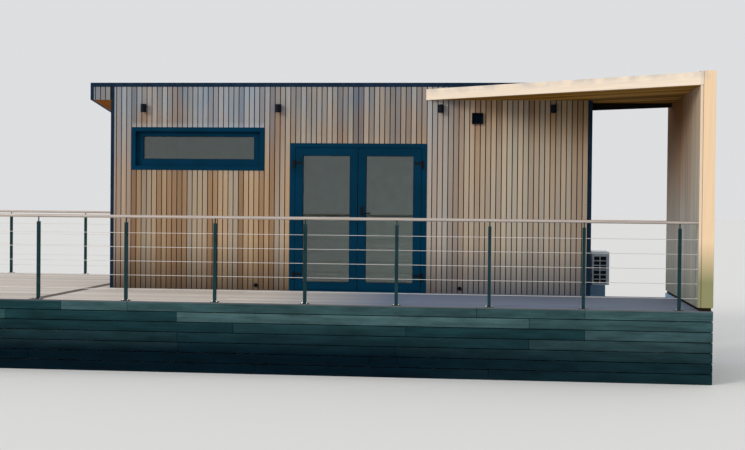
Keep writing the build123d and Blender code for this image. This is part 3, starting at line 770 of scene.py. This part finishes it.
# Powder-coated aluminium: dark blue-grey with little gloss. Its orange peel of 2 mm is drawn at 7 mm.
coated_aluminium, tree, shader = new_material(
    "anthracite_coated_aluminium", Roughness=0.5, Specular_IOR_Level=0.03
)
cloud = pattern(tree, 454.55, 4.0)
colour = add(tree, "ValToRGB", links={0: cloud}, stops=[(0.3, "#002A3E"), (0.7, "#00324C")])[0]
finish(tree, shader, colour, pattern(tree, 7.143), 0.06, 0.0005)
paint(coated_aluminium, "window_reveal", "window_sash", "door_frame", "left_leaf", "right_leaf")
# Cast aluminium with a black coat: its pores of 1 mm are drawn at 6 mm.
black_coat = mottled(
    "black_coated_cast_aluminium", "#050A14", "#0A1322", 6.25, bump=(0.08, 0.0004),
    Roughness=0.5, Specular_IOR_Level=0.08,
)
paint(black_coat, "wall_lights", "wall_outlets")
# Opal polycarbonate: milky white that lets some light through.
opal_lens = mottled("opal_light_lens", "#D9D8D0", "#E6E5DE", 25, Roughness=0.3, Transmission_Weight=0.3)
light_recess = 0.022
light_stand_off = 0.016
light_axis = -light_stand_off - light_radius
lens_radius = light_radius - 0.005
for name, z, out in (("upper", light_high.z - light_recess, 1), ("lower", light_low.z + light_recess, -1)):
    studs(
        name + "_light_lenses", [at(x, light_axis, z) for x in light_places], (0, 0, out),
        lens_radius, 0.003, opal_lens, sides=24,
    )
# Moulded ASA: a blue-black skin, slightly rough. Its texture of 2 mm is drawn at 11 mm.
vent_plastic = mottled(
    "moulded_anthracite_asa", "#050D18", "#0A1623", 11.111, bump=(0.1, 0.0005),
    Roughness=0.6, Specular_IOR_Level=0.08,
)
paint(vent_plastic, "wall_vent")

# Clear float glass with a faint film of dirt. Its shadow rays pass, so that daylight reaches the room as
# it does through the real pane.
glass, tree, shader = new_material(
    "clear_float_glass", Base_Color=linear("#E4EEEC"), Roughness=0.0, IOR=1.5, Transmission_Weight=1.0
)
film = add(tree, "MapRange", {1: 0.4, 2: 0.8, 3: 0.0, 4: 0.04}, {0: pattern(tree, 333.33, 3.0)})[0]
tree.links.new(film, shader.inputs["Roughness"])
clear = add(tree, "BsdfTransparent", {"Color": linear("#E4EEEC")})[0]
shadow_ray = add(tree, "LightPath")["Is Shadow Ray"]
mixed = add(tree, "MixShader", links={0: shadow_ray, 1: shader.outputs[0], 2: clear})[0]
tree.links.new(mixed, tree.nodes["Material Output"].inputs["Surface"])
# Anodised spacer bars: satin grey metal between the sheets.
spacer_metal = mottled("anodised_spacer_bar", "#8D9092", "#A9ACAE", 5, Metallic=1.0, Roughness=0.4)
# Extruded EPDM: black rubber with a dull sheen.
gasket_rubber = mottled(
    "black_epdm_gasket", "#101214", "#191C1F", 12.5, Roughness=0.7, Specular_IOR_Level=0.3
)
sheet_of_glass = 0.004
spacer_inset = 0.003
spacer_width = 0.010
gasket = 0.006
pane_edge = 0.012


def ring(x0, x1, y0, y1, z0, z1, inset, width):
    """Four bars inside the edges of an upright rectangle, open along Y."""
    x0, x1, z0, z1 = x0 + inset, x1 - inset, z0 + inset, z1 - inset
    return [
        solid_box(x0, x0 + width, y0, y1, z0, z1, 0),
        solid_box(x1 - width, x1, y0, y1, z0, z1, 0),
        solid_box(x0 + width, x1 - width, y0, y1, z0, z0 + width, 0),
        solid_box(x0 + width, x1 - width, y0, y1, z1 - width, z1, 0),
    ]


for node, body in (
    ("window_pane", "house"), ("left_leaf_pane", "left_door"), ("right_leaf_pane", "right_door")
):
    low, high = place(node)
    inner, outer = low.y + sheet_of_glass, high.y - sheet_of_glass
    sheets = [
        solid_box(low.x, high.x, y0, y1, low.z, high.z, 0) for y0, y1 in ((low.y, inner), (outer, high.y))
    ]
    prisms(node + "_glass", sheets, [glass], body=body, replaces=[node])
    bars = ring(low.x, high.x, inner, outer, low.z, high.z, spacer_inset, spacer_width)
    prisms(node + "_spacer", bars, [spacer_metal], body=body)
    seals = []
    for y0, y1 in ((low.y - gasket, low.y), (high.y, high.y + gasket)):
        seals += ring(low.x, high.x, y0, y1, low.z, high.z, pane_edge, gasket)
    prisms(node + "_gasket", seals, [gasket_rubber], body=body)

# Hinges and handle: steel in a satin black coat, a little darker than the frames and smoother.
satin_black = mottled(
    "satin_black_coated_steel", "#080D14", "#0D131C", 8.333, bump=(0.05, 0.0003),
    Roughness=0.4, Specular_IOR_Level=0.1,
)
paint(satin_black, "door_handle", "frame_hinges", "left_leaf_hinges", "right_leaf_hinges")
frame_hinge_low, frame_hinge_high = place("frame_hinges")
flag_face = door_low.y - 0.004
flag_height = 0.120
flag_inset = 0.012
hinge_screw_radius = 0.004
hinge_screw_rise = 0.0012
hinge_screws = [("frame_hinge", "house", [
    at(x, flag_face, base + rise)
    for base in (frame_hinge_low.z, frame_hinge_high.z - flag_height)
    for x in (frame_hinge_low.x + flag_inset, frame_hinge_high.x - flag_inset)
    for rise in (0.02, 0.06, 0.10)
])]
for side, body in (("left", "left_door"), ("right", "right_door")):
    strap_low, strap_high = place(side + "_leaf_hinges")
    toward_axis = 1 if side == "left" else -1
    far = strap_high.x if side == "left" else strap_low.x
    hinge_screws.append((side + "_strap", body, [
        at(far - toward_axis * reach, flag_face, z)
        for z in (strap_low.z + 0.018, strap_high.z - 0.018) for reach in (0.014, 0.045, 0.076)
    ]))
for name, body, places in hinge_screws:
    studs(
        name + "_screws", places, (0, -1, 0), hinge_screw_radius, hinge_screw_rise, satin_black,
        body,
    )
plate_corner = place("door_handle")[0]
key_place = at(plate_corner.x + 0.023, door_low.y - 0.007, plate_corner.z + 0.082)
studs("key_cylinder", [key_place], (0, -1, 0), 0.0085, 0.003, satin_black, "right_door", 16)

# Floor in the room.
# Oiled oak boards, 140 mm wide, laid along the house and seen through the glass. The oil leaves them
# brown with a low sheen.
oak, tree, shader = new_material("oiled_oak_boards", Roughness=0.45)
joint_mm, length_mm, width_mm = 1.5, 1800, 140
board_rows = {
    "Color1": linear("#A07B52"), "Color2": linear("#8A6640"), "Mortar": linear("#4A3522"), "Scale": 1.0,
    "Mortar Size": joint_mm / 1000, "Brick Width": length_mm / 1000, "Row Height": width_mm / 1000,
}
finish(tree, shader, add(tree, "TexBrick", board_rows, {"Vector": add(tree, "TexCoord")["Object"]})[0])
paint(oak, "floor")

# Plinth walls.
# Rendered and painted blockwork under the house, the wing wall's rear and the outdoor unit. The sandy
# render is matt, and damp darkens it near the ground. Its sand of 2 mm is drawn at 11 mm.
ground = -house.z
# The render's pale blue is painted light, the blue of shade under an open sky.
render_coat, tree, shader = new_material("painted_sand_cement_render", Roughness=0.9)
damp = pattern(tree, 500, 5.0)
rise = (axes_of(tree)[2], ground, ground + 0.5, 0.75, 0.0)
dry = add(tree, "ValToRGB", links={0: damp}, stops=[(0.3, "#7CA4C4"), (0.7, "#92B8D8")])[0]
finish(tree, shader, covered(tree, dry, "#4D5850", rise, damp), pattern(tree, 11.111, 3.0), 0.4, 0.002)
paint(render_coat, "base_walls", "wing_base", "outdoor_unit_plinth")

# Deck.
# Ribless softwood boards, 140 mm wide with 6 mm joints, screwed to the joists and butted over them.
# Sun and rain have bleached them to a pale grey-beige.
deck_low, deck_high = place("deck")
deck_pitch = 0.146
deck_joint = 0.006
post_pitch = 1.164
post_count = 11
corner_post_x = -0.209 - 3 * post_pitch
post_line = [corner_post_x + i * post_pitch for i in range(post_count)]
# Bleached softwood: matt and pale, with streaks along each board drawn 8 mm apart.
bleached_deck, tree, shader = new_material("bleached_softwood_decking", Roughness=0.75)
own, grain = grained(
    tree, [(0.0, "#BFB8B0"), (0.35, "#D2CAC1"), (0.7, "#E0D8CF"), (1.0, "#CABDB0")], 8, 0.16
)
# Boards towards the canopy turn a darker blue-grey, which is painted shade lit blue by the sky.
sky_shade_part = (axes_of(tree)[0], 2.5, 4.3, 0.0, 0.9)
finish(tree, shader, covered(tree, own, "#566A88", sky_shade_part), grain, 0.3)
# A dark oiled board laid across the others covers the joint between the terrace and the walkway.
dark_board = plain_boards(
    "dark_oiled_decking", [(0.0, "#5C534C"), (1.0, "#6F665F")], 8, 0.2, 0.3,
    Roughness=0.8, Specular_IOR_Level=0.2,
)
field_joint = 0.010
shortest = 0.4
joint_left = roof_low.x - deck_pitch / 2
joint_right = roof_low.x + deck_pitch / 2
terrace_right = joint_left - deck_joint / 2
walkway_left = joint_right + deck_joint / 2
dice = random.Random(71)
deck_pieces = [solid_box(
    joint_left + deck_joint / 2, joint_right - deck_joint / 2, deck_low.y, deck_high.y,
    deck_low.z, deck_high.z, 1, 0.4, (0, 1, 0),
)]
screw_places = []
for x0, x1, y0, y1 in (
    (deck_low.x, terrace_right, deck_low.y, deck_high.y),
    (walkway_left, 0.0, field_joint, deck_high.y),
    (walkway_left, deck_high.x, deck_low.y, 0.0),
):
    for row in range(int((y1 - y0) / deck_pitch) + 1):
        near = y0 + row * deck_pitch
        far = min(near + deck_pitch - deck_joint, y1)
        if far - near < 2 * deck_joint:
            continue
        butts = [
            x for i, x in enumerate(post_line)
            if (i + 2 * row) % 4 == 1 and x0 + shortest < x < x1 - shortest
        ]
        ends = [x0] + butts + [x1]
        for a, b in zip(ends, ends[1:]):
            left = a if a == x0 else a + board_joint / 2
            right = b if b == x1 else b - board_joint / 2
            deck_pieces.append(solid_box(
                left, right, near, far, deck_low.z, deck_high.z, 0, dice.random(), (1, 0, 0)
            ))
        if far - near > deck_pitch / 2:
            screw_places += [
                at(x + side, near + share * (far - near), 0)
                for x in post_line for share in (0.2, 0.8) for side in (-0.012, 0.012) if x0 < x < x1
            ]
prisms("deck_boards", deck_pieces, [bleached_deck, dark_board], replaces=["deck"], edge=0.002)
studs("deck_screws", screw_places, (0, 0, 1), 0.004, 0.0004, screw_steel, sides=6)
# Pressure-treated joists, rough from the saw: dull brown with blotches of 80 mm.
paint(mottled("treated_sawn_joist", "#4E4636", "#655B47", 83.333, 4.0, Roughness=0.85), "deck_frame")

# Skirt.
# Seven rows of rough boards screwed to the frame, with stained and algae-dark faces that get darker
# towards the ground, partly from algae and partly as painted shade. Rows that can be made out are butted
# where the photograph shows a joint.
skirt_low, skirt_high = place("front_skirt")
skirt_rows = 7
row_height = (skirt_high.z - skirt_low.z) / skirt_rows
skirt_thickness = 0.025
row_joint = 0.009
shortest_skirt_board = 0.1
palest_guess = 0.85
# Softwood under a worn stain and algae: matt, with deep streaks drawn 11 mm apart.
algae_boards, tree, shader = new_material(
    "stained_softwood_with_algae", Roughness=0.9, Specular_IOR_Level=0.05
)
stains = [(0.0, "#1F4146"), (0.3, "#294D52"), (0.6, "#3A585B"), (0.85, "#4A686C"), (1.0, "#537173")]
own, grain = grained(tree, stains, 11, 0.42)
across, _, height = axes_of(tree)
# The rows darken towards the ground, partly algae and partly painted shade.
lower = (height, ground + 0.27, ground + 0.77, 1.0, 0.0)
to_right = (across, 4.5, 8.3, 1.0, 0.6)
colour = covered(tree, own, "#02151F", lower, to_right)
# Algae lie in uneven blotches, drawn out along the boards.
blotches = pattern(tree, (454.55, 454.55, 90.91), 6.0, 0.65)
blotched = add(tree, "MapRange", {1: 0.32, 2: 0.68, 3: 0.62, 4: 1.2}, {0: blotches})[0]
colour = shaded(tree, colour, blotched)
# The top edge under the deck's nosing has weathered grey.
top_edge = (height, -0.022, -0.006, 0.0, 0.7)
finish(tree, shader, covered(tree, colour, "#6F6B6E", top_edge), grain, 0.5, 0.002)
row_butts = {
    0: (-2.14, 0.113, 0.989, 5.46, 6.795), 1: (-2.90, -0.631, 1.638, 6.112), 2: (-2.10, 2.373, 4.578, 6.795),
    3: (-1.24, 1.646, 6.112), 4: (-2.80, 1.66, 4.447), 5: (-0.323, 4.12), 6: (-1.81, 2.66, 5.611),
}
# Tones of the boards that stand out, by row and by where the board begins.
board_tones = {
    (0, -2.14): 0.08, (0, 0.113): 0.74, (0, 0.989): 0.63, (0, 5.46): 0.60, (0, 6.795): 0.72,
    (1, -2.90): 0.55, (1, -0.631): 0.03, (1, 1.638): 0.9, (1, 6.112): 0.66,
    (2, -2.10): 0.05, (2, 2.373): 0.36, (2, 4.578): 0.12, (2, 6.795): 0.78,
    (3, -1.24): 0.42, (3, 1.646): 0.3, (3, 6.112): 0.72,
}
dice = random.Random(83)


def skirt(origin, run, inward, length, butts, tone_of=None):
    """Rows of boards over a flat length, butted at the given distances."""
    run, inward = Vector(run), Vector(inward)
    pieces = []
    for row in range(skirt_rows):
        top = -row * row_height - (0 if row == 0 else row_joint / 2)
        bottom = -(row + 1) * row_height + (0 if row == skirt_rows - 1 else row_joint / 2)
        ends = [0.0] + [
            b for b in butts.get(row, ()) if shortest_skirt_board < b < length - shortest_skirt_board
        ] + [length]
        for a, b in zip(ends, ends[1:]):
            tone = dice.random() * palest_guess
            if tone_of and (row, a) in tone_of:
                tone = tone_of[(row, a)]
            left = a + (0 if a == 0 else board_joint / 2)
            right = b - (0 if b == length else board_joint / 2)
            outline = [
                origin + run * left + upward * bottom, origin + run * right + upward * bottom,
                origin + run * right + upward * top, origin + run * left + upward * top,
            ]
            pieces.append((outline, inward * skirt_thickness, run, tone, 0))
    return pieces


from_left = {row: [b - skirt_low.x for b in butts] for row, butts in row_butts.items()}
tones = {(row, b - skirt_low.x): tone for (row, b), tone in board_tones.items()}
front_pieces = skirt(
    at(skirt_low.x, skirt_low.y, 0), (1, 0, 0), (0, 1, 0), skirt_high.x - skirt_low.x, from_left, tones
)
side_low, side_high = place("side_skirts")
side_butts = {0: (3.6,), 1: (2.2,), 2: (4.3,), 3: (1.4, 4.9), 4: (3.1,), 5: (2.4,), 6: (3.9,)}
side_pieces = skirt(
    at(side_low.x, side_low.y, 0), (0, 1, 0), (1, 0, 0), side_high.y - side_low.y, side_butts
) + skirt(at(side_high.x, side_low.y, 0), (0, 1, 0), (-1, 0, 0), -side_low.y, {})
rear_low, rear_high = place("rear_skirts")
rear_butts = {0: (1.6,), 2: (2.4,), 4: (1.1,), 5: (2.0,)}
rear_pieces = skirt(at(rear_low.x, house_depth, 0), (1, 0, 0), (0, -1, 0), -rear_low.x, rear_butts)
rear_pieces += [
    solid_box(
        house_length, rear_high.x, -skirt_thickness, 0,
        max(-(row + 1) * row_height + row_joint / 2, skirt_low.z),
        min(-row * row_height - row_joint / 2, deck_low.z), 0, dice.random(), (1, 0, 0),
    ) for row in range(skirt_rows)
]
for name, pieces, node in (
    ("front_skirt_boards", front_pieces, "front_skirt"),
    ("side_skirt_boards", side_pieces, "side_skirts"),
    ("rear_skirt_boards", rear_pieces, "rear_skirts"),
):
    prisms(name, pieces, [algae_boards], replaces=[node], edge=0.003)
# The screw heads are stained over with the boards.
skirt_screws = [
    at(x, skirt_low.y, -(row + share) * row_height)
    for x in post_line if skirt_low.x < x < skirt_high.x
    for row in range(skirt_rows) for share in (0.25, 0.75)
]
studs("skirt_screws", skirt_screws, (0, -1, 0), 0.0045, screw_rise, algae_boards, sides=6)

# Railing.
# Square anthracite posts on welded base plates, each bolted down with four hexagon screws, carry a
# round satin stainless handrail on slim necks. Five stainless cables run through them, swaged at the ends.
# Satin stainless steel: soft streaked gloss, its warm beige tint a painted reflection of warm surroundings.
# Its polishing lines are drawn 6 mm apart, along the rail.
satin_steel = mottled(
    "satin_stainless_steel", "#BDAFA5", "#D8CCC3", (333.33, 5.5556, 5.5556), 3.0,
    Metallic=1.0, Roughness=0.26,
)
paint(satin_steel, "handrail")
# Wire rope: bright metal, with strands that wind round it 2.4 mm apart. The wave's diagonal bands lie
# 628 mm apart at a scale of 1.
# Its near-white colour is partly a painted highlight, standing for the glint of light along the strands.
bright_rope, tree, shader = new_material("stainless_wire_rope", Metallic=1.0, Roughness=0.3)
strand_mm, band_mm = 2.4166, 628.32
wave = {"Scale": band_mm / strand_mm}
spot = add(tree, "TexCoord")["Object"]
strands = add(tree, "TexWave", wave, {"Vector": spot}, bands_direction="DIAGONAL")["Fac"]
colour = add(tree, "ValToRGB", links={0: strands}, stops=[(0.0, "#DAD5CF"), (0.5, "#F2EEE9")])[0]
finish(tree, shader, colour, strands, 0.3, 0.0004)
paint(bright_rope, "cables_front", "cables_left", "cables_back")
# Powder-coated steel: dark slate with little gloss and slow changes of tone.
coated_post = mottled(
    "anthracite_coated_post", "#142D30", "#1B3B42", 125, 4.0, bump=(0.05, 0.001),
    Roughness=0.5, Specular_IOR_Level=0.05,
)
paint(coated_post, "railing_posts_front", "railing_posts_left", "railing_posts_back")

back_post_pitch = 1.340
plate = 0.100
plate_sheet = 0.008
bolt_inset = 0.016
bolts = []
for node in ("railing_posts_front", "railing_posts_left", "railing_posts_back"):
    low, high = place(node)
    if node == "railing_posts_front":
        corners = [(low.x + i * post_pitch, low.y) for i in range(round((high.x - low.x) / post_pitch) + 1)]
    elif node == "railing_posts_left":
        corners += [(low.x, low.y + i * (high.y - low.y - plate) / 3) for i in range(4)]
    else:
        corners += [(low.x, low.y)] + [(high.x - plate - i * back_post_pitch, low.y) for i in range(3)]
for x, y in corners:
    bolts += [
        at(x + dx, y + dy, plate_sheet)
        for dx in (bolt_inset, plate - bolt_inset) for dy in (bolt_inset, plate - bolt_inset)
    ]
studs("base_plate_washers", bolts, (0, 0, 1), 0.010, 0.0015, satin_steel, sides=16)
studs("base_plate_bolts", bolts, (0, 0, 1), 0.0072, 0.007, satin_steel, sides=6)

# Outdoor unit.
# Stove-enamelled sheet steel housing with a moulded guard over its fan and dark coil fins behind the
# openings at its near side. It stands on the plinth beside the house.
# Stoved enamel: pale and smooth with an even sheen and a little dirt. Its blue tint is painted skylit shade.
enamel = mottled("stoved_enamel_sheet", "#CADFF2", "#D8E9FA", 142.86, 5.0, Roughness=0.4)
paint(enamel, "outdoor_unit")
# Moulded plastic: dark slate grey with a dull sheen.
guard_plastic = mottled("moulded_grey_guard", "#26323E", "#33414E", 16.667, Roughness=0.5)
paint(guard_plastic, "outdoor_unit_guard")
# Aluminium fins and their backing, coloured near black as painted shade of the deep openings behind the
# guard.
coil_fins = mottled(
    "dark_coil_fins_painted_shade", "#030D1A", "#091726", 11.111, Roughness=0.5, Specular_IOR_Level=0.3
)
unit_low, unit_high = place("outdoor_unit")
margin, top_margin, strip, bar, recess = 0.022, 0.066, 0.044, 0.012, 0.040
columns, rows = 2, 6
cell_width = (unit_high.x - unit_low.x - margin - strip - bar) / columns
cell_height = (unit_high.z - unit_low.z - margin - top_margin - (rows - 1) * bar) / rows
fin_pitch, fin_depth, fin_sheet = 0.008, 0.020, 0.001
fin_backing = 0.002
back = unit_low.y + recess
fins = []
for column in range(columns):
    x0 = unit_low.x + margin + column * (cell_width + bar)
    for row in range(rows):
        z0 = unit_low.z + margin + row * (cell_height + bar)
        z1 = z0 + cell_height
        fins.append(solid_box(x0, x0 + cell_width, back - fin_backing, back, z0, z1, 0))
        for i in range(1, int(cell_width / fin_pitch)):
            x = x0 + i * fin_pitch
            fins.append(solid_box(x, x + fin_sheet, back - fin_depth, back - fin_backing, z0, z1, 0))
prisms("coil_fins", fins, [coil_fins])
# The fan's three blades are pitched sheets, each bent in six strips round the hub.
guard_low, guard_high = place("outdoor_unit_guard")
fan_middle = at(unit_high.x, (guard_low.y + guard_high.y) / 2, (guard_low.z + guard_high.z) / 2)
blade_count, strips = 3, 6
strip_angle = 0.17
blade_root, blade_tip, blade_sheet = 0.05, 0.175, 0.003
blade_behind, blade_rise = 0.034, 0.020
hub_behind, hub_radius, hub_depth = 0.036, 0.055, 0.022
blades = []
for blade in range(blade_count):
    for step in range(strips):
        start = 2 * math.pi * blade / blade_count + step * strip_angle
        end = start + strip_angle
        x = blade_rise * (step + 0.5) / strips - blade_behind
        outline = [
            fan_middle + Vector((x, radius * math.cos(angle), radius * math.sin(angle)))
            for angle, radius in (
                (start, blade_root), (start, blade_tip), (end, blade_tip), (end, blade_root)
            )
        ]
        blades.append((outline, Vector((blade_sheet, 0, 0)), upward, 0.5, 0))
prisms("fan_blades", blades, [guard_plastic])
studs(
    "fan_hub", [fan_middle - Vector((hub_behind, 0, 0))], (1, 0, 0), hub_radius, hub_depth,
    guard_plastic, sides=32,
)

# Studio.
# Pale floor, even daylight from all round and a broad soft lamp from the front left, as in the photograph.
# The camera stands where the photograph's edges put it.
floor_material, tree, shader = new_material("pale_studio_floor", Base_Color=linear("#E3E3E1"), Roughness=0.9)
floor_mesh = bpy.data.meshes.new("studio_floor")
half = 250.0
floor_corners = [(-half, -half, 0), (half, -half, 0), (half, half, 0), (-half, half, 0)]
floor_mesh.from_pydata(floor_corners, [], [(0, 1, 2, 3)])
floor_mesh.materials.append(floor_material)
studio_floor = bpy.data.objects.new("studio_floor", floor_mesh)
bpy.context.collection.objects.link(studio_floor)

world = bpy.data.worlds.new("studio_daylight")
bpy.context.scene.world = world
world.use_nodes = True
tree = world.node_tree
background = tree.nodes["Background"]
daylight = 0.8
backdrop = 0.76
rays = add(tree, "LightPath")
seen = {0: rays["Is Camera Ray"], 1: rays["Is Transmission Ray"]}
direct = add(tree, "Math", links=seen, operation="MAXIMUM")[0]
strength = add(tree, "MapRange", {3: daylight, 4: backdrop}, {0: direct})[0]
background.inputs["Color"].default_value = linear("#FAFBFD")
tree.links.new(strength, background.inputs["Strength"])

sun = bpy.data.lights.new("soft_key", "SUN")
sun.energy = 1.45
sun.angle = math.radians(22)
sun.color = (1.0, 0.965, 0.92)
sun_stand = bpy.data.objects.new("soft_key", sun)
bpy.context.collection.objects.link(sun_stand)
sun_from = Vector((-0.9, -0.9, 0.5))
sun_stand.rotation_euler = sun_from.to_track_quat("Z", "Y").to_euler()

camera = bpy.data.cameras.new("camera")
camera.sensor_width = 36.0
camera.lens = 62.94
camera.clip_end = 800.0
camera_place = at(5.8736, -18.6848, 1.2767)
yaw, pitch, roll = -0.106, -0.0163, 0.0100
forward = Vector((math.sin(yaw) * math.cos(pitch), math.cos(yaw) * math.cos(pitch), math.sin(pitch)))
level_right = Vector((math.cos(yaw), -math.sin(yaw), 0))
level_up = level_right.cross(forward)
right = level_right * math.cos(roll) + level_up * math.sin(roll)
over = level_up * math.cos(roll) - level_right * math.sin(roll)
stand = bpy.data.objects.new("camera", camera)
bpy.context.collection.objects.link(stand)
turn = Matrix((right, over, -forward)).transposed().to_4x4()
stand.matrix_world = Matrix.Translation(camera_place) @ turn
bpy.context.scene.camera = stand
bpy.context.scene.view_settings.view_transform = "Standard"
